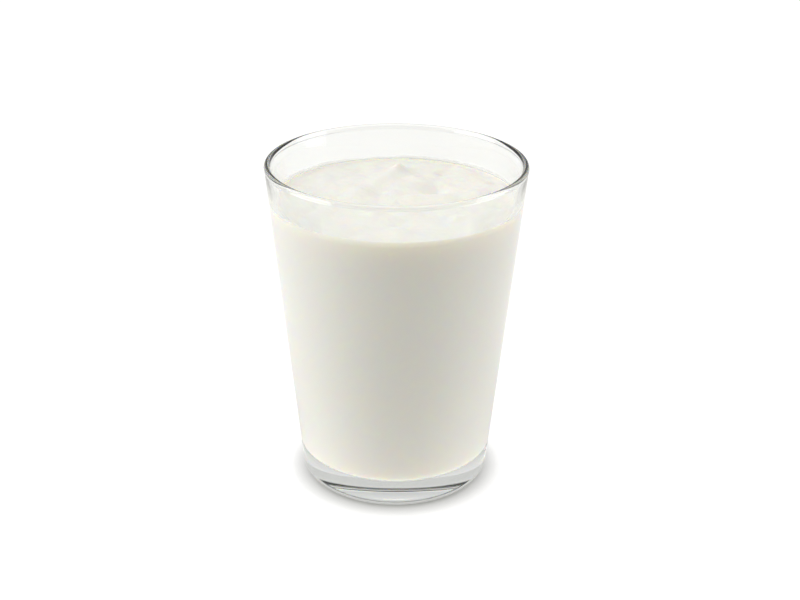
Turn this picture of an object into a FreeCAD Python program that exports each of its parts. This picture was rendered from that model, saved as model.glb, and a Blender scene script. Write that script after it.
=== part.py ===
import FreeCAD, Part
import collections
import math
import os

# A glass of kefir: a plain tapered tumbler and the thick drink in it, up to its uneven top.
# Millimetres, +Z up. The origin is the middle of the foot, on the surface the glass stands on,
# and +Y is the side where the pour left its crest.

# ---- Driving dimensions: the tumbler ----
GLASS_HEIGHT = 102.7
RIM_DIAMETER = 79.0          # outside, at the widest turn of the rim
FOOT_DIAMETER = 58.5         # outside, where the straight wall would reach the floor
RIM_WALL = 1.65              # the wall just under the rim
BEAD_INSIDE = 0.25           # how far the rim's round bead stands out past the inner wall
BEAD_OUTSIDE = 0.05          # how far it stands out past the outer wall
NECK_RADIUS = 1.2            # the hollow round where the bead runs into the wall
FLOOR_WALL = 4.4             # the wall at the height of the inner floor
BASE_THICKNESS = 8.4         # from the standing ring to the inner floor, at the wall
HEEL_RADIUS = 3.8            # the outer corner between wall and foot
INNER_CORNER_RADIUS = 2.5    # the inner corner between wall and floor
FLOOR_DISH = 0.5             # how far the inner floor sags at the middle
PUNT_DEPTH = 1.0             # the hollow under the foot
PUNT_MARGIN = 5.5            # from the straight wall's foot line in to the edge of the punt

# ---- Driving dimensions: the kefir ----
HEADSPACE = 11.3             # from the top of the rim down to the mean level of the drink
MENISCUS_RISE = 1.2          # how far the drink climbs the wall
MENISCUS_REACH = 1.3         # the distance from the wall in which the climb falls to a third
CURD_COUNT = 34              # soft lumps and dimples that show at the top
CURD_HEIGHT = 0.5
CURD_WIDTH = 2.2
CURD_MARGIN = 3.5            # the lumps' middles stay this far inside the wall
SURFACE_STEP = 1.5           # spacing of the points that carry the free surface

# The folds that the pour left in the top: each one's middle from the axis, the direction of its
# long way in degrees from +X towards +Y, its half length and half width where it has fallen to a
# third, and its height, which is below zero in a hollow.
Fold = collections.namedtuple("Fold", "x y direction length width height")
CREST_PEAK = Fold(x=0.6, y=24.4, direction=60.0, length=2.8, width=2.0, height=1.9)
CREST_TAIL = Fold(x=-4.0, y=18.2, direction=53.0, length=8.5, width=3.4, height=1.0)
HOLLOW = Fold(x=10.8, y=7.4, direction=4.0, length=5.4, width=3.4, height=-1.3)
HOLLOW_LIP = Fold(x=10.0, y=1.6, direction=8.0, length=7.5, width=2.4, height=0.5)
SWELL = Fold(x=-16.0, y=6.5, direction=152.0, length=7.5, width=3.4, height=0.7)
DRIFT = Fold(x=2.5, y=-20.5, direction=10.0, length=9.0, width=3.2, height=-0.6)

GOLDEN_ANGLE = math.pi * (3.0 - math.sqrt(5.0))
AXIS_START = FreeCAD.Vector(0, 0, 0)
AXIS = FreeCAD.Vector(0, 0, 1)

bead_radius = (RIM_WALL + BEAD_INSIDE + BEAD_OUTSIDE) / 2.0
bead_centre = (RIM_DIAMETER / 2.0 - bead_radius, GLASS_HEIGHT - bead_radius)
foot_radius = FOOT_DIAMETER / 2.0
fill_level = GLASS_HEIGHT - HEADSPACE


def point(place):
    """A point (r, z) of the half section, in the XZ plane."""
    return FreeCAD.Vector(place[0], 0, place[1])


def neck(through, side, overhang):
    """The hollow round between a straight wall and the bead: its points on wall, middle and bead.

    The wall starts at this point of the half section. side is 1 for the outer wall and -1 for
    the inner one, and the bead stands out past the wall by the overhang.
    """
    run = bead_centre[0] - through[0]
    rise = bead_centre[1] - through[1]
    wall_offset = bead_radius - overhang
    distance = math.hypot(run, rise)
    lean = math.atan2(rise, run) - side * math.asin(wall_offset / distance)
    up_wall = (math.cos(lean), math.sin(lean))
    off_wall = (side * up_wall[1], -side * up_wall[0])
    reach = NECK_RADIUS + bead_radius
    drop = math.sqrt(reach ** 2 - (NECK_RADIUS + wall_offset) ** 2)
    on_wall = along(through, up_wall, math.sqrt(distance ** 2 - wall_offset ** 2) - drop)
    centre = along(on_wall, off_wall, NECK_RADIUS)
    to_bead = unit(centre, bead_centre)
    to_wall = unit(centre, on_wall)
    halfway = unit((0, 0), (to_bead[0] + to_wall[0], to_bead[1] + to_wall[1]))
    return on_wall, along(centre, halfway, NECK_RADIUS), along(centre, to_bead, NECK_RADIUS)


def rounded_corner(corner, before, after, radius):
    """The tangent arc of this radius in a corner: its first, middle and last points."""
    back = unit(corner, before)
    ahead = unit(corner, after)
    half_angle = math.acos(back[0] * ahead[0] + back[1] * ahead[1]) / 2.0
    setback = radius / math.tan(half_angle)
    bisector = unit((0, 0), (back[0] + ahead[0], back[1] + ahead[1]))
    reach = radius / math.sin(half_angle) - radius
    first = along(corner, back, setback)
    last = along(corner, ahead, setback)
    return first, along(corner, bisector, reach), last


def unit(start, end):
    run = end[0] - start[0]
    rise = end[1] - start[1]
    length = math.hypot(run, rise)
    return (run / length, rise / length)


def along(start, direction, distance):
    return (start[0] + direction[0] * distance, start[1] + direction[1] * distance)


def line(start, end):
    return Part.LineSegment(point(start), point(end)).toShape()


def arc(first, middle, last):
    return Part.Arc(point(first), point(middle), point(last)).toShape()


def dome(top, rim):
    """The arc of a shallow dome about the axis, from its top or lowest point out to its rim."""
    rise = rim[1] - top[1]
    radius = (rim[0] ** 2 + rise ** 2) / (2.0 * rise)
    half_turn = math.asin(rim[0] / radius) / 2.0
    middle = (radius * math.sin(half_turn), top[1] + radius * (1.0 - math.cos(half_turn)))
    return arc(top, middle, rim)


def revolved(edges):
    """The solid of revolution about +Z of a closed half section."""
    face = Part.Face(Part.Wire(edges))
    return face.revolve(AXIS_START, AXIS, 360)


# The outer and inner walls are straight and both run through a small neck into the rim's bead.
wall_foot = (foot_radius, 0.0)
outer_neck = neck(wall_foot, 1, BEAD_OUTSIDE)
outer_taper = unit(wall_foot, outer_neck[0])
floor_corner = (
    foot_radius + outer_taper[0] / outer_taper[1] * BASE_THICKNESS - FLOOR_WALL,
    BASE_THICKNESS,
)
inner_neck = neck(floor_corner, -1, BEAD_INSIDE)
inner_top = inner_neck[0]
floor_middle = (0.0, BASE_THICKNESS - FLOOR_DISH)
inner_corner = rounded_corner(floor_corner, inner_top, (0.0, BASE_THICKNESS), INNER_CORNER_RADIUS)


def cavity_edges():
    """The inner wall, its rounded corner and the dished floor, from the top to the axis."""
    return [
        line(inner_top, inner_corner[0]),
        arc(*inner_corner),
        dome(floor_middle, inner_corner[2]),
    ]


def make_glass():
    """The tumbler in one revolve: punt, standing ring, heel, wall, beaded rim, inside."""
    heel = rounded_corner(wall_foot, (0.0, 0.0), outer_neck[0], HEEL_RADIUS)
    punt_edge = (foot_radius - PUNT_MARGIN, 0.0)
    punt_top = (0.0, PUNT_DEPTH)
    rim_peak = (bead_centre[0], GLASS_HEIGHT)
    outside = [
        dome(punt_top, punt_edge),
        line(punt_edge, heel[0]),
        arc(*heel),
        line(heel[2], outer_neck[0]),
        arc(*outer_neck),
        arc(outer_neck[2], rim_peak, inner_neck[2]),
        arc(*reversed(inner_neck)),
    ]
    core = line(floor_middle, punt_top)
    return revolved(outside + cavity_edges() + [core])


def wall_radius(height):
    """The radius of the inner wall at a height above its rounded corner."""
    share = (height - floor_corner[1]) / (inner_top[1] - floor_corner[1])
    return floor_corner[0] + (inner_top[0] - floor_corner[0]) * share


def mound(x, y, fold):
    """The height that one fold adds over a point of the floor plan."""
    turn = math.radians(fold.direction)
    east = x - fold.x
    north = y - fold.y
    ahead = east * math.cos(turn) + north * math.sin(turn)
    aside = north * math.cos(turn) - east * math.sin(turn)
    return fold.height * math.exp(-((ahead / fold.length) ** 2) - (aside / fold.width) ** 2)


def curds():
    """The soft lumps and dimples, spread evenly, each a little longer round the axis than across."""
    reach = wall_radius(fill_level) - CURD_MARGIN
    for number in range(CURD_COUNT):
        distance = reach * math.sqrt((number + 0.5) / CURD_COUNT)
        angle = number * GOLDEN_ANGLE
        width = CURD_WIDTH * (1.0 + 0.3 * math.sin(2.3 * number))
        yield Fold(
            x=distance * math.cos(angle),
            y=distance * math.sin(angle),
            direction=math.degrees(angle) + 90.0,
            length=1.4 * width,
            width=width,
            height=CURD_HEIGHT * math.cos(1.7 * number + 0.6),
        )


def surface_height(x, y, folds):
    """The height of the drink's top over a point of the floor plan."""
    gap = max(wall_radius(fill_level) - math.hypot(x, y), 0.0)
    climb = MENISCUS_RISE * math.exp(-gap / MENISCUS_REACH)
    return fill_level + climb + sum(mound(x, y, fold) for fold in folds)


def make_kefir():
    """The drink: the glass's inside below one smooth free surface."""
    brim_middle = (0.0, inner_top[1])
    lid = [line(floor_middle, brim_middle), line(brim_middle, inner_top)]
    cavity = revolved(cavity_edges() + lid)
    half = math.ceil((wall_radius(GLASS_HEIGHT) + SURFACE_STEP) / SURFACE_STEP)
    places = [step * SURFACE_STEP for step in range(-half, half + 1)]
    folds = [CREST_PEAK, CREST_TAIL, HOLLOW, HOLLOW_LIP, SWELL, DRIFT] + list(curds())
    grid = [[FreeCAD.Vector(x, y, surface_height(x, y, folds)) for y in places] for x in places]
    surface = Part.BSplineSurface()
    surface.interpolate(grid)
    below = surface.toShape().extrude(FreeCAD.Vector(0, 0, -GLASS_HEIGHT))
    return cavity.common(below)


os.makedirs("parts", exist_ok=True)
for name, shape in (("glass", make_glass()), ("kefir", make_kefir())):
    solid = shape.Solids[0]
    print(name, "solids", len(shape.Solids), "valid", solid.isValid(), "ml", round(solid.Volume / 1000.0, 2))
    solid.exportStep(os.path.join("parts", name + ".step"))
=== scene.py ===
import collections
import math

import bmesh
import bpy
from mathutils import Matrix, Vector, noise


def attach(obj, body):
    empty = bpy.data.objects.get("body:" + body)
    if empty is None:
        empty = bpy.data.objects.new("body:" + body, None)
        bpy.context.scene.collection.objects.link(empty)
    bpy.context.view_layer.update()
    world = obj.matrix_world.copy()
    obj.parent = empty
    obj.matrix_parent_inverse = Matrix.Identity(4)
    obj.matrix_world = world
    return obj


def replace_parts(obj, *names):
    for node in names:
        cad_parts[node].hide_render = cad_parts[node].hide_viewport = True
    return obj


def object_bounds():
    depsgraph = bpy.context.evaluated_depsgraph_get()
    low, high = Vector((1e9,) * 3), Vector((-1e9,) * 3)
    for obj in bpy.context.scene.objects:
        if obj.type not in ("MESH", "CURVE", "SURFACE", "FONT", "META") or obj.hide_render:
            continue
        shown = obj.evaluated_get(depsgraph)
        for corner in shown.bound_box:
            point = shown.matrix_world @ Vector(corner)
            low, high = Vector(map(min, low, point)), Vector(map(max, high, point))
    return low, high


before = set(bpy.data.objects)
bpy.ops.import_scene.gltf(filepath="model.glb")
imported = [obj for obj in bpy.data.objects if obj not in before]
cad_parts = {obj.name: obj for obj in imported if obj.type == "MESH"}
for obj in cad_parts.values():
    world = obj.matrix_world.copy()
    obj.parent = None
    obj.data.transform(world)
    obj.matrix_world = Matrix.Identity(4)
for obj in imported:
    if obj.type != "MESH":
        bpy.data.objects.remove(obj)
cad_low, cad_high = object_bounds()

# A glass of kefir. Metres, +Z up, the foot's middle at the origin, the camera on the -Y side.
MM = 0.001

# ---- The camera, at the photograph's viewing angle ----
CAMERA_ELEVATION = math.radians(24.086)
CAMERA_DISTANCE = 433.5 * MM
CAMERA_TARGET = Vector((1.32, 0.0, 57.47)) * MM
CAMERA_ROLL = math.radians(0.455)
CAMERA_LENS = 62.75
CAMERA_SENSOR = 36.0
CAMERA_CLIP = 10.0 * MM

# ---- The tumbler's half section, in millimetres as in the CAD ----
GLASS_HEIGHT = cad_high.z / MM
RIM_DIAMETER = 2.0 * min(cad_high.x, cad_high.y, -cad_low.x, -cad_low.y) / MM
FOOT_DIAMETER = 58.5
RIM_WALL = 1.65
BEAD_INSIDE = 0.25
BEAD_OUTSIDE = 0.05
NECK_RADIUS = 1.2
FLOOR_WALL = 4.4
BASE_THICKNESS = 8.4
HEEL_RADIUS = 3.8
INNER_CORNER_RADIUS = 2.5
FLOOR_DISH = 0.5
PUNT_DEPTH = 1.0
PUNT_MARGIN = 5.5

TURN_STEPS = 288
ARC_POINTS = 12              # points on each round of the section
WALL_POINTS = 40             # points along each straight wall
RING_POINTS = 4              # points across the standing ring

# ---- The soft unevenness of the tumbler's walls, in millimetres ----
WAVE_DEPTH = 0.03
WAVE_SIZE = 15.0
WAVE_STRETCH = 2.0           # how much longer the waves are up the wall than round it
WAVE_GIRTH = 36.0            # the radius at which they have that size
WAVE_SHIFT = 3.0             # keeps the inner wall's waves apart from the outer wall's
WAVE_CALM = 12.0             # they fade out over this height at the foot and at the rim

# ---- The drink's top, in millimetres. It is a little lower than in the CAD, most of all at the
# wall, and its folds and lumps are stronger. ----
HEADSPACE = 11.8
MENISCUS_RISE = 0.7
MENISCUS_REACH = 0.9
CURD_COUNT = 34
CURD_HEIGHT = 0.75
CURD_WIDTH = 2.2
CURD_MARGIN = 3.5
CURD_STRETCH = 1.4           # the length of a lump over its width
CURD_VARIETY = 0.3           # the share by which their widths differ
CURD_WIDTH_TURN = 2.3        # radians from one lump to the next, in what sets its width
CURD_HEIGHT_TURN = 1.7       # and in what sets its height
CURD_HEIGHT_START = 0.6
GOLDEN_ANGLE = math.pi * (3.0 - math.sqrt(5.0))

# Each fold: its middle, the direction of its long way in degrees from +X, its half length and
# half width, and its height.
Fold = collections.namedtuple("Fold", "x y direction length width height")
CREST_PEAK = Fold(x=0.6, y=24.4, direction=60.0, length=2.8, width=2.2, height=2.1)
CREST_TAIL = Fold(x=-2.4, y=19.5, direction=60.0, length=6.5, width=4.4, height=1.4)
HOLLOW = Fold(x=11.0, y=9.0, direction=10.0, length=6.0, width=4.4, height=-2.6)
HOLLOW_LIP = Fold(x=10.0, y=1.6, direction=8.0, length=7.5, width=3.0, height=0.8)
SWELL = Fold(x=-15.0, y=6.5, direction=152.0, length=7.5, width=3.8, height=1.1)
DRIFT = Fold(x=2.5, y=-20.5, direction=10.0, length=9.0, width=3.4, height=-0.9)

# ---- Finer relief that only the visual drink has, in millimetres ----
GRAIN_SIZE = 2.0             # spacing of the small lumps between the folds
GRAIN_HEIGHT = 0.10
GRAIN_DECAY = 0.9
GRAIN_STEP = 2.1             # how much finer each octave is than the one before
GRAIN_OCTAVES = 3
RIPPLE_SIZE = 6.0            # spacing of the soft unevenness
RIPPLE_HEIGHT = 0.75
RIPPLE_LAYER = 40.0          # keeps the ripples apart from the grain
RELIEF_CALM = 2.0            # the relief fades out over this distance from the wall

# ---- The skin of the visual drink ----
INTO_WALL = 0.15             # millimetres that it reaches into the glass, so that no gap shows
TOP_RINGS = 110
RING_BIAS = 1.3              # above 1, the rings of the top are closer together near the wall
SIDE_RINGS = 40
FLOOR_RINGS = 10

# ---- The film that the drink left on the wall above its level, in millimetres ----
FILM_HALF_THICKNESS = 0.06
FILM_BELOW = 0.4             # how far it reaches below the level
FILM_HEIGHT = 9.0
FILM_ROWS = 12
FILM_WAVE = 1.6              # how much the height at which it ends wanders
FILM_WAVE_SCALE = 90.0       # waves in a metre
BAND_START = 0.7             # the band behind starts to thin out this far above the level
BAND_END = 1.7
BAND_COVER = 0.35            # the share of light that the milk stops
STREAK_START = 20.0          # the streaks in front start this far to the left and right
STREAK_END = 36.0
STREAK_COVER = 0.5
BEHIND_START = -5.0          # from here to there along Y the streaks give way to the band
BEHIND_END = 15.0

# ---- Colours and finishes. Depths are how far light goes into the drink, in millimetres. ----
WHITE = (1.0, 1.0, 1.0, 1.0)
GLASS_TINT = (0.985, 0.995, 0.99, 1.0)
GLASS_SHADE = (0.94, 0.95, 0.945, 1.0)     # what one face leaves of the light that lights the drink
GLASS_IOR = 1.5
KEFIR_IOR = 1.35
TOP_COLOUR = (0.885, 0.877, 0.843, 1.0)
# The side's colour is the drink's own, made a little darker and warmer than the top's as painted warm
# shade for its shaded front.
SIDE_COLOUR_WITH_PAINTED_SHADE = (0.88, 0.865, 0.826, 1.0)
LIGHT_REACH = (1.0, 0.75, 0.4)             # of red, green and blue, as shares of the depth
TOP_ROUGHNESS = 0.34
TOP_GLOSS = 0.5
TOP_DEPTH = 0.8
SIDE_ROUGHNESS = 0.5
SIDE_DEPTH = 5.0
MIRROR_TINT = (0.82, 0.83, 0.825, 1.0)
MIRROR_ROUGHNESS = 0.03


def new_material(name):
    """An empty node material: its tree and its output node."""
    material = bpy.data.materials.new(name)
    material.use_nodes = True
    tree = material.node_tree
    tree.nodes.clear()
    output = tree.nodes.new("ShaderNodeOutputMaterial")
    return material, tree, output


def feed(tree, socket, value):
    """Give a socket a value, or link another socket to it."""
    if isinstance(value, bpy.types.NodeSocket):
        tree.links.new(value, socket)
    else:
        socket.default_value = value


def add(tree, kind, **values):
    """A node of this kind, with its named inputs set or linked."""
    node = tree.nodes.new(kind)
    for name, value in values.items():
        feed(tree, node.inputs[name.replace("_", " ")], value)
    return node


def maths(tree, operation, *sides):
    """A Math node's result. Each side is a socket or a number."""
    node = tree.nodes.new("ShaderNodeMath")
    node.operation = operation
    for slot, side in enumerate(sides):
        feed(tree, node.inputs[slot], side)
    return node.outputs[0]


def ramp(tree, value, start, end, first, last):
    """A socket that goes from the first number to the last while the value goes from start to end."""
    node = add(tree, "ShaderNodeMapRange", Value=value, From_Min=start, From_Max=end,
               To_Min=first, To_Max=last)
    return node.outputs["Result"]


def is_any_ray(tree, *kinds):
    """A socket that is 1 for a ray of any of these kinds."""
    path = tree.nodes.new("ShaderNodeLightPath")
    found = path.outputs[kinds[0]]
    for kind in kinds[1:]:
        found = maths(tree, "MAXIMUM", found, path.outputs[kind])
    return found


def mixed(tree, share, first, second):
    """The two shaders mixed, with this socket or number as the second one's share."""
    mix = add(tree, "ShaderNodeMixShader", Fac=share)
    tree.links.new(first.outputs[0], mix.inputs[1])
    tree.links.new(second.outputs[0], mix.inputs[2])
    return mix


# ---- Materials ----

def glass_material():
    """Clear soda-lime glass. Lamps and soft light pass it straight, so that the drink is lit."""
    material, tree, output = new_material("clear_glass")
    body = add(tree, "ShaderNodeBsdfPrincipled", Base_Color=GLASS_TINT, Roughness=0.0,
               IOR=GLASS_IOR, Transmission_Weight=1.0)
    clear = add(tree, "ShaderNodeBsdfTransparent", Color=GLASS_SHADE)
    soft = is_any_ray(tree, "Is Shadow Ray", "Is Diffuse Ray")
    tree.links.new(mixed(tree, soft, body, clear).outputs[0], output.inputs["Surface"])
    return material


def kefir_shader(tree, colour, roughness, gloss, depth):
    """Thick sour milk: light goes some millimetres into it and comes out soft and warm."""
    return add(tree, "ShaderNodeBsdfPrincipled", Base_Color=colour, Roughness=roughness,
               IOR=KEFIR_IOR, Specular_IOR_Level=gloss, Subsurface_Weight=1.0,
               Subsurface_Radius=LIGHT_REACH, Subsurface_Scale=depth * MM)


def kefir_top_material():
    """The free surface: wet, with a soft sheen."""
    material, tree, output = new_material("kefir_top")
    body = kefir_shader(tree, TOP_COLOUR, TOP_ROUGHNESS, TOP_GLOSS, TOP_DEPTH)
    tree.links.new(body.outputs[0], output.inputs["Surface"])
    return material


def kefir_side_material():
    """Kefir against glass. Glass bends light more than the drink does, so that seen at a slant
    from inside the wall their contact is a mirror."""
    material, tree, output = new_material("kefir_against_glass")
    # Its colour carries a little painted warm shade.
    body = kefir_shader(tree, SIDE_COLOUR_WITH_PAINTED_SHADE, SIDE_ROUGHNESS, 0.0, SIDE_DEPTH)
    mirror = add(tree, "ShaderNodeBsdfGlossy", Color=MIRROR_TINT, Roughness=MIRROR_ROUGHNESS)
    slant = add(tree, "ShaderNodeFresnel", IOR=KEFIR_IOR / GLASS_IOR)
    both = mixed(tree, slant.outputs[0], body, mirror)
    tree.links.new(both.outputs[0], output.inputs["Surface"])
    return material


def film_material(level, top):
    """The milky film: behind, a band just above the level, and in front, streaks at both sides."""
    material, tree, output = new_material("kefir_film")
    position = tree.nodes.new("ShaderNodeNewGeometry").outputs["Position"]
    parts = add(tree, "ShaderNodeSeparateXYZ", Vector=position)
    waves = add(tree, "ShaderNodeTexNoise", Vector=position, Scale=FILM_WAVE_SCALE, Detail=2.0)
    swing = FILM_WAVE * MM
    wander = maths(tree, "MULTIPLY_ADD", waves.outputs["Fac"], swing, -swing / 2.0)
    height = maths(tree, "ADD", parts.outputs["Z"], wander)
    band = ramp(tree, height, level + BAND_START * MM, level + BAND_END * MM, BAND_COVER, 0.0)
    fade = ramp(tree, height, level, top, 1.0, 0.0)
    side = maths(tree, "ABSOLUTE", parts.outputs["X"])
    sides = ramp(tree, side, STREAK_START * MM, STREAK_END * MM, 0.0, STREAK_COVER)
    streaks = maths(tree, "MULTIPLY", fade, sides)
    behind = ramp(tree, parts.outputs["Y"], BEHIND_START * MM, BEHIND_END * MM, 0.0, 1.0)
    cover = add(tree, "ShaderNodeMix", Factor=behind, A=streaks, B=band)
    clear = add(tree, "ShaderNodeBsdfTransparent", Color=WHITE)
    lit_in_front = add(tree, "ShaderNodeBsdfDiffuse", Color=TOP_COLOUR)
    lit_through = add(tree, "ShaderNodeBsdfTranslucent", Color=TOP_COLOUR)
    milk = mixed(tree, 0.5, lit_in_front, lit_through)
    film = mixed(tree, cover.outputs["Result"], clear, milk)
    tree.links.new(film.outputs[0], output.inputs["Surface"])
    return material


# ---- The tumbler's section, as points (r, z) in millimetres ----

def unit(start, end):
    """The direction from one point to another."""
    run = end[0] - start[0]
    rise = end[1] - start[1]
    length = math.hypot(run, rise)
    return (run / length, rise / length)


def along(start, direction, distance):
    """The point at a distance from the start in a direction."""
    return (start[0] + direction[0] * distance, start[1] + direction[1] * distance)


def straight(start, end, count):
    """Points from the start up to, but without, the end."""
    return [along(start, (end[0] - start[0], end[1] - start[1]), n / count) for n in range(count)]


def sweep(centre, start, end):
    """An arc about a centre by the short way, from the start up to, but without, the end."""
    first = math.atan2(start[1] - centre[1], start[0] - centre[0])
    turn = math.atan2(end[1] - centre[1], end[0] - centre[0]) - first
    turn = (turn + math.pi) % (2 * math.pi) - math.pi
    radius = math.dist(centre, start)
    angles = [first + turn * n / ARC_POINTS for n in range(ARC_POINTS)]
    return [(centre[0] + radius * math.cos(a), centre[1] + radius * math.sin(a)) for a in angles]


def neck(through, side, overhang):
    """The hollow round between a straight wall and the bead: its ends and its centre."""
    run = bead_centre[0] - through[0]
    rise = bead_centre[1] - through[1]
    wall_offset = bead_radius - overhang
    distance = math.hypot(run, rise)
    lean = math.atan2(rise, run) - side * math.asin(wall_offset / distance)
    up_wall = (math.cos(lean), math.sin(lean))
    off_wall = (side * up_wall[1], -side * up_wall[0])
    reach = NECK_RADIUS + bead_radius
    drop = math.sqrt(reach ** 2 - (NECK_RADIUS + wall_offset) ** 2)
    on_wall = along(through, up_wall, math.sqrt(distance ** 2 - wall_offset ** 2) - drop)
    centre = along(on_wall, off_wall, NECK_RADIUS)
    return on_wall, along(centre, unit(centre, bead_centre), NECK_RADIUS), centre


def rounded_corner(corner, before, after, radius):
    """The tangent round in a corner: its ends and its centre."""
    back = unit(corner, before)
    ahead = unit(corner, after)
    half_angle = math.acos(back[0] * ahead[0] + back[1] * ahead[1]) / 2.0
    setback = radius / math.tan(half_angle)
    bisector = unit((0, 0), (back[0] + ahead[0], back[1] + ahead[1]))
    centre = along(corner, bisector, radius / math.sin(half_angle))
    return along(corner, back, setback), along(corner, ahead, setback), centre


def dome_height(radius, rim, top):
    """The height of a shallow dome about the axis, at a distance from it."""
    rise = rim[1] - top
    sphere = (rim[0] ** 2 + rise ** 2) / (2.0 * rise)
    return top + sphere - math.copysign(math.sqrt(sphere ** 2 - radius ** 2), sphere)


bead_radius = (RIM_WALL + BEAD_INSIDE + BEAD_OUTSIDE) / 2.0
bead_centre = (RIM_DIAMETER / 2.0 - bead_radius, GLASS_HEIGHT - bead_radius)
wall_foot = (FOOT_DIAMETER / 2.0, 0.0)
outer_neck = neck(wall_foot, 1, BEAD_OUTSIDE)
outer_taper = unit(wall_foot, outer_neck[0])
floor_corner = (
    wall_foot[0] + outer_taper[0] / outer_taper[1] * BASE_THICKNESS - FLOOR_WALL,
    BASE_THICKNESS,
)
inner_neck = neck(floor_corner, -1, BEAD_INSIDE)
inner_corner = rounded_corner(floor_corner, inner_neck[0], (0.0, BASE_THICKNESS),
                              INNER_CORNER_RADIUS)


def wall_radius(height):
    """The radius of the inner wall at a height above its rounded corner."""
    top = inner_neck[0]
    share = (height - floor_corner[1]) / (top[1] - floor_corner[1])
    return floor_corner[0] + (top[0] - floor_corner[0]) * share


def floor_height(radius):
    """The height of the inner floor inside its rounded corner."""
    return dome_height(radius, inner_corner[1], BASE_THICKNESS - FLOOR_DISH)


def glass_section():
    """The tumbler's outline: punt, standing ring, heel, wall, neck, bead, neck, wall and floor."""
    heel = rounded_corner(wall_foot, (0.0, 0.0), outer_neck[0], HEEL_RADIUS)
    punt = (wall_foot[0] - PUNT_MARGIN, 0.0)
    peak = (bead_centre[0], GLASS_HEIGHT)
    points = []
    for n in range(1, ARC_POINTS):
        radius = punt[0] * n / ARC_POINTS
        points.append((radius, dome_height(radius, punt, PUNT_DEPTH)))
    points += straight(punt, heel[0], RING_POINTS)
    points += sweep(heel[2], heel[0], heel[1])
    points += straight(heel[1], outer_neck[0], WALL_POINTS)
    points += sweep(outer_neck[2], outer_neck[0], outer_neck[1])
    points += sweep(bead_centre, outer_neck[1], peak)
    points += sweep(bead_centre, peak, inner_neck[1])
    points += sweep(inner_neck[2], inner_neck[1], inner_neck[0])
    points += straight(inner_neck[0], inner_corner[0], WALL_POINTS)
    points += sweep(inner_corner[2], inner_corner[0], inner_corner[1])
    for n in range(ARC_POINTS):
        radius = inner_corner[1][0] * (1.0 - n / ARC_POINTS)
        points.append((radius, floor_height(radius)))
    return points


# ---- Skins: closed meshes from a first point, over rings about the axis, to a last point ----

def ring_points(radius, height):
    """One ring about the axis, in metres, from millimetres. Radius and height are each one number,
    or a list with one number for each step."""
    points = []
    for step in range(TURN_STEPS):
        angle = 2 * math.pi * step / TURN_STEPS
        out = radius[step] if isinstance(radius, list) else radius
        up = height[step] if isinstance(height, list) else height
        points.append(Vector((out * math.cos(angle), out * math.sin(angle), up)) * MM)
    return points


def rows_between(first, count):
    """The faces that join a number of rings, whose points start at this index."""
    faces = []
    for row in range(count - 1):
        upper = first + row * TURN_STEPS
        lower = upper + TURN_STEPS
        for step in range(TURN_STEPS):
            after = (step + 1) % TURN_STEPS
            faces.append((upper + step, lower + step, lower + after, upper + after))
    return faces


def skin(name, start, rings, end):
    """A closed mesh from the start, a point on the axis, over the rings to the end, another."""
    verts = [start] + [point for ring in rings for point in ring] + [end]
    last_ring = 1 + (len(rings) - 1) * TURN_STEPS
    steps = [(step, (step + 1) % TURN_STEPS) for step in range(TURN_STEPS)]
    faces = [(0, 1 + step, 1 + after) for step, after in steps]
    faces += rows_between(1, len(rings))
    faces += [(last_ring + step, len(verts) - 1, last_ring + after) for step, after in steps]
    return smooth_mesh(name, verts, faces)


def smooth_mesh(name, verts, faces):
    """A mesh whose faces are shaded as one smooth surface."""
    data = bpy.data.meshes.new(name)
    data.from_pydata(verts, [], faces)
    data.validate()
    for face in data.polygons:
        face.use_smooth = True
    return data


def place_piece(name, data):
    """Make the mesh a piece of the one rigid body."""
    piece = bpy.data.objects.new(name, data)
    bpy.context.scene.collection.objects.link(piece)
    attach(piece, "root")
    return piece


# ---- The tumbler ----

def wave(angle, height, side):
    """How far a wall wanders at a turn and a height. Side is 0 for the outer wall, 1 for the inner."""
    place = Vector((math.cos(angle), math.sin(angle), side * WAVE_SHIFT)) * WAVE_GIRTH / WAVE_SIZE
    place.z += height / (WAVE_STRETCH * WAVE_SIZE)
    calm = min(height / WAVE_CALM, (GLASS_HEIGHT - height) / WAVE_CALM, 1.0)
    return WAVE_DEPTH * noise.noise(place) * max(calm, 0.0)


def make_glass():
    """The tumbler: its section turned about the axis."""
    section = glass_section()
    peak = max(range(len(section)), key=lambda n: section[n][1])
    turns = [2 * math.pi * step / TURN_STEPS for step in range(TURN_STEPS)]
    rings = []
    for n, (radius, height) in enumerate(section):
        side = 0.0 if n < peak else 1.0
        rings.append(ring_points([radius + wave(turn, height, side) for turn in turns], height))
    punt_top = Vector((0, 0, PUNT_DEPTH)) * MM
    floor_middle = Vector((0, 0, BASE_THICKNESS - FLOOR_DISH)) * MM
    data = skin("glass_body", punt_top, rings, floor_middle)
    data.flip_normals()
    data.materials.append(glass_material())
    return place_piece("glass_body", data)


# ---- The drink ----

def mound(x, y, fold):
    """The height that one fold adds over a point of the floor plan."""
    turn = math.radians(fold.direction)
    east = x - fold.x
    north = y - fold.y
    ahead = east * math.cos(turn) + north * math.sin(turn)
    aside = north * math.cos(turn) - east * math.sin(turn)
    return fold.height * math.exp(-((ahead / fold.length) ** 2) - (aside / fold.width) ** 2)


def curds(wall):
    """The soft lumps and dimples, spread evenly, each a little longer round the axis than across."""
    for number in range(CURD_COUNT):
        distance = (wall - CURD_MARGIN) * math.sqrt((number + 0.5) / CURD_COUNT)
        angle = number * GOLDEN_ANGLE
        width = CURD_WIDTH * (1.0 + CURD_VARIETY * math.sin(CURD_WIDTH_TURN * number))
        yield Fold(
            x=distance * math.cos(angle),
            y=distance * math.sin(angle),
            direction=math.degrees(angle) + 90.0,
            length=CURD_STRETCH * width,
            width=width,
            height=CURD_HEIGHT * math.cos(CURD_HEIGHT_TURN * number + CURD_HEIGHT_START),
        )


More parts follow.
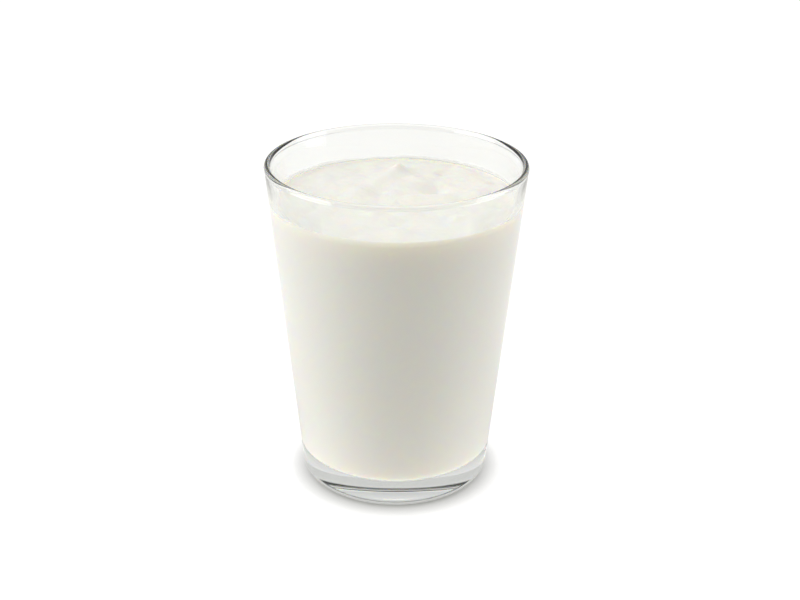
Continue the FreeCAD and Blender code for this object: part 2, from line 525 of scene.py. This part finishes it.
def relief(x, y):
    """The finer unevenness of thick, slightly curdled milk."""
    place = Vector((x, y, 0.0)) / GRAIN_SIZE
    fine = noise.fractal(place, GRAIN_DECAY, GRAIN_STEP, GRAIN_OCTAVES)
    soft = noise.noise(Vector((x, y, RIPPLE_LAYER)) / RIPPLE_SIZE)
    return GRAIN_HEIGHT * fine + RIPPLE_HEIGHT * soft


def surface_height(x, y, level, wall, folds):
    """The height of the drink's top over a point of the floor plan."""
    gap = max(wall - math.hypot(x, y), 0.0)
    climb = MENISCUS_RISE * math.exp(-gap / MENISCUS_REACH)
    calm = min(gap / RELIEF_CALM, 1.0)
    height = level + climb + calm * relief(x, y)
    return height + sum(mound(x, y, fold) for fold in folds)


def make_kefir(level):
    """The drink as one closed skin: free surface, side just inside the wall, corner and floor."""
    wall = wall_radius(level)
    folds = [CREST_PEAK, CREST_TAIL, HOLLOW, HOLLOW_LIP, SWELL, DRIFT] + list(curds(wall))

    def top_ring(radius):
        flat = ring_points(radius, 0.0)
        return [surface_height(p.x / MM, p.y / MM, level, wall, folds) for p in flat]

    rings = []
    for ring in range(1, TOP_RINGS):
        radius = wall * (1.0 - (1.0 - ring / TOP_RINGS) ** RING_BIAS)
        rings.append(ring_points(radius, top_ring(radius)))
    edge = top_ring(wall)
    corner = inner_corner[0][1]
    for ring in range(SIDE_RINGS):
        share = ring / SIDE_RINGS
        heights = [start + (corner - start) * share for start in edge]
        rings.append(ring_points([wall_radius(height) + INTO_WALL for height in heights], heights))
    centre = inner_corner[2]
    for radius, height in sweep(centre, inner_corner[0], inner_corner[1]):
        outward = unit(centre, (radius, height))
        rings.append(ring_points(*along((radius, height), outward, INTO_WALL)))
    for ring in range(FLOOR_RINGS):
        radius = inner_corner[1][0] * (1.0 - ring / FLOOR_RINGS)
        rings.append(ring_points(radius, floor_height(radius) - INTO_WALL))
    middle_top = Vector((0, 0, surface_height(0, 0, level, wall, folds))) * MM
    middle_floor = Vector((0, 0, floor_height(0.0) - INTO_WALL)) * MM
    data = skin("kefir_body", middle_top, rings, middle_floor)
    data.materials.append(kefir_top_material())
    data.materials.append(kefir_side_material())
    for face in data.polygons:
        face.material_index = 0 if face.index < TOP_RINGS * TURN_STEPS else 1
    return place_piece("kefir_body", data)


def make_film(level):
    """A thin closed band about the inner wall, from just under the level up to near the rim."""
    low = level - FILM_BELOW
    high = low + FILM_HEIGHT
    heights = [low + (high - low) * row / FILM_ROWS for row in range(FILM_ROWS + 1)]
    sides = [(height, -FILM_HALF_THICKNESS) for height in heights]
    sides += [(height, FILM_HALF_THICKNESS) for height in reversed(heights)]
    verts = []
    for height, offset in sides:
        verts += ring_points(wall_radius(height) + offset, height)
    faces = rows_between(0, len(sides))
    last = (len(sides) - 1) * TURN_STEPS
    for step in range(TURN_STEPS):
        after = (step + 1) % TURN_STEPS
        faces.append((last + step, step, after, last + after))
    data = smooth_mesh("kefir_film", verts, faces)
    data.materials.append(film_material(level * MM, high * MM))
    return place_piece("kefir_film", data)


# ---- Studio ----

FLOOR_SIZE = 3.0             # from its middle to each side

# The floor is a light table under white paint. It lights the drink and shows in the glass, and
# what the camera sees of it is white with a painted soft shade beside the foot, from ambient
# occlusion on its glow.
FLOOR_PAINT = (0.30, 0.30, 0.30, 1.0)
TABLE_COLOUR = (1.0, 0.994, 0.975, 1.0)
TABLE_LIGHT = 0.45           # what it gives everywhere
PATCH_LIGHT = 0.56           # how much more it gives the drink from close round the glass
PATCH_START = 30.0 * MM
PATCH_END = 100.0 * MM
FAR_LIGHT = 0.23             # how much more it shows in and through the glass, away from the foot
FAR_START = 50.0 * MM
FAR_END = 120.0 * MM
TABLE_WHITE = 0.80           # what the camera sees of it
CONTACT_REACH = 6.0 * MM     # how far the shade beside the foot goes

# The tent of soft light about them. Heights and places are parts of a ball of radius 1.
TENT_COLOUR = WHITE
TENT_LOW = 0.5
TENT_HIGH = 1.42
TENT_RISE_START = 0.35       # it grows brighter from this height to the top
FRONT_COLOUR = (1.0, 0.95, 0.78, 1.0)
FRONT_DARK_END = -0.86       # nearer to the camera's side than this along Y it is dark
FRONT_OPEN = -0.36           # and from here on it has its full light
FRONT_WARM_START = -0.5      # its colour goes from the front's to the tent's between these
FRONT_WARM_END = 0.1

# The soft boxes. Azimuth 0 is the camera's side and 90 is +X.
BOX_DISTANCE = 0.6
SoftBox = collections.namedtuple("SoftBox", "name azimuth elevation width height radiance")
LEFT_BOX = SoftBox("left_box", azimuth=280, elevation=26, width=0.48, height=0.36, radiance=3.0)
RIGHT_BOX = SoftBox("right_box", azimuth=88, elevation=11, width=0.36, height=0.36, radiance=2.1)


def floor_material():
    """The light table. Where the camera sees it, its glow has a painted shade beside the foot."""
    material, tree, output = new_material("floor_white")
    place = tree.nodes.new("ShaderNodeNewGeometry")
    from_axis = tree.nodes.new("ShaderNodeVectorMath")
    from_axis.operation = "LENGTH"
    tree.links.new(place.outputs["Position"], from_axis.inputs[0])
    distance = from_axis.outputs["Value"]
    patch = ramp(tree, distance, PATCH_START, PATCH_END, PATCH_LIGHT, 0.0)
    far = ramp(tree, distance, FAR_START, FAR_END, 0.0, FAR_LIGHT)
    in_glass = is_any_ray(tree, "Is Glossy Ray", "Is Transmission Ray")
    for_drink = maths(tree, "MULTIPLY", patch, is_any_ray(tree, "Is Diffuse Ray"))
    for_glass = maths(tree, "MULTIPLY", far, in_glass)
    strength = maths(tree, "ADD", TABLE_LIGHT, maths(tree, "ADD", for_drink, for_glass))
    lighting = add(tree, "ShaderNodeEmission", Color=TABLE_COLOUR, Strength=strength)
    # Painted shade: ambient occlusion darkens the white glow that the camera sees beside the foot.
    contact = add(tree, "ShaderNodeAmbientOcclusion", Distance=CONTACT_REACH)
    shaded = maths(tree, "MULTIPLY", contact.outputs["AO"], TABLE_WHITE)
    white_glow_painted_shade = add(tree, "ShaderNodeEmission", Color=WHITE, Strength=shaded)
    glow = mixed(tree, is_any_ray(tree, "Is Camera Ray"), lighting, white_glow_painted_shade)
    paint = add(tree, "ShaderNodeBsdfDiffuse", Color=FLOOR_PAINT)
    total = tree.nodes.new("ShaderNodeAddShader")
    tree.links.new(paint.outputs[0], total.inputs[0])
    tree.links.new(glow.outputs[0], total.inputs[1])
    tree.links.new(total.outputs[0], output.inputs["Surface"])
    return material


def make_floor():
    mesh = bmesh.new()
    bmesh.ops.create_grid(mesh, x_segments=2, y_segments=2, size=FLOOR_SIZE)
    data = bpy.data.meshes.new("floor")
    mesh.to_mesh(data)
    mesh.free()
    data.materials.append(floor_material())
    floor = bpy.data.objects.new("floor", data)
    bpy.context.scene.collection.objects.link(floor)


def make_world():
    """A light tent: bright overhead, dimmer low down, and warm and dark in front."""
    world = bpy.data.worlds.new("studio")
    bpy.context.scene.world = world
    world.use_nodes = True
    tree = world.node_tree
    tree.nodes.clear()
    output = tree.nodes.new("ShaderNodeOutputWorld")
    way = tree.nodes.new("ShaderNodeTexCoord")
    parts = add(tree, "ShaderNodeSeparateXYZ", Vector=way.outputs["Generated"])
    depth = parts.outputs["Y"]
    rise = ramp(tree, parts.outputs["Z"], TENT_RISE_START, 1.0, TENT_LOW, TENT_HIGH)
    lit = ramp(tree, depth, FRONT_DARK_END, FRONT_OPEN, 0.0, 1.0)
    strength = maths(tree, "MULTIPLY", rise, lit)
    front = add(tree, "ShaderNodeBackground", Color=FRONT_COLOUR, Strength=strength)
    behind = add(tree, "ShaderNodeBackground", Color=TENT_COLOUR, Strength=strength)
    past_front = ramp(tree, depth, FRONT_WARM_START, FRONT_WARM_END, 0.0, 1.0)
    tent = mixed(tree, past_front, front, behind)
    white = add(tree, "ShaderNodeBackground", Color=WHITE, Strength=1.0)
    studio = mixed(tree, is_any_ray(tree, "Is Camera Ray"), tent, white)
    tree.links.new(studio.outputs[0], output.inputs["Surface"])


def make_soft_box(box):
    """A lamp panel that faces the glass."""
    turn = math.radians(box.azimuth)
    tilt = math.radians(box.elevation)
    way = Vector((math.cos(tilt) * math.sin(turn), -math.cos(tilt) * math.cos(turn), math.sin(tilt)))
    data = bpy.data.lights.new(box.name, "AREA")
    data.shape = "RECTANGLE"
    data.size = box.width
    data.size_y = box.height
    data.energy = box.radiance * math.pi * box.width * box.height
    lamp = bpy.data.objects.new(box.name, data)
    bpy.context.scene.collection.objects.link(lamp)
    lamp.location = way * BOX_DISTANCE + Vector((0, 0, cad_high.z / 2))
    lamp.rotation_euler = (-way).to_track_quat("-Z", "Y").to_euler()


def make_camera():
    data = bpy.data.cameras.new("camera")
    data.lens = CAMERA_LENS
    data.sensor_width = CAMERA_SENSOR
    data.clip_start = CAMERA_CLIP
    camera = bpy.data.objects.new("camera", data)
    bpy.context.scene.collection.objects.link(camera)
    back = Vector((0, -math.cos(CAMERA_ELEVATION), math.sin(CAMERA_ELEVATION)))
    camera.location = CAMERA_TARGET + back * CAMERA_DISTANCE
    camera.rotation_euler = (-back).to_track_quat("-Z", "Y").to_euler()
    camera.rotation_euler.rotate_axis("Z", CAMERA_ROLL)
    bpy.context.scene.camera = camera


drink_level = GLASS_HEIGHT - HEADSPACE
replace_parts(make_glass(), "glass")
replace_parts(make_kefir(drink_level), "kefir")
make_film(drink_level)
make_floor()
make_world()
make_soft_box(LEFT_BOX)
make_soft_box(RIGHT_BOX)
make_camera()
bpy.context.scene.view_settings.view_transform = "Standard"
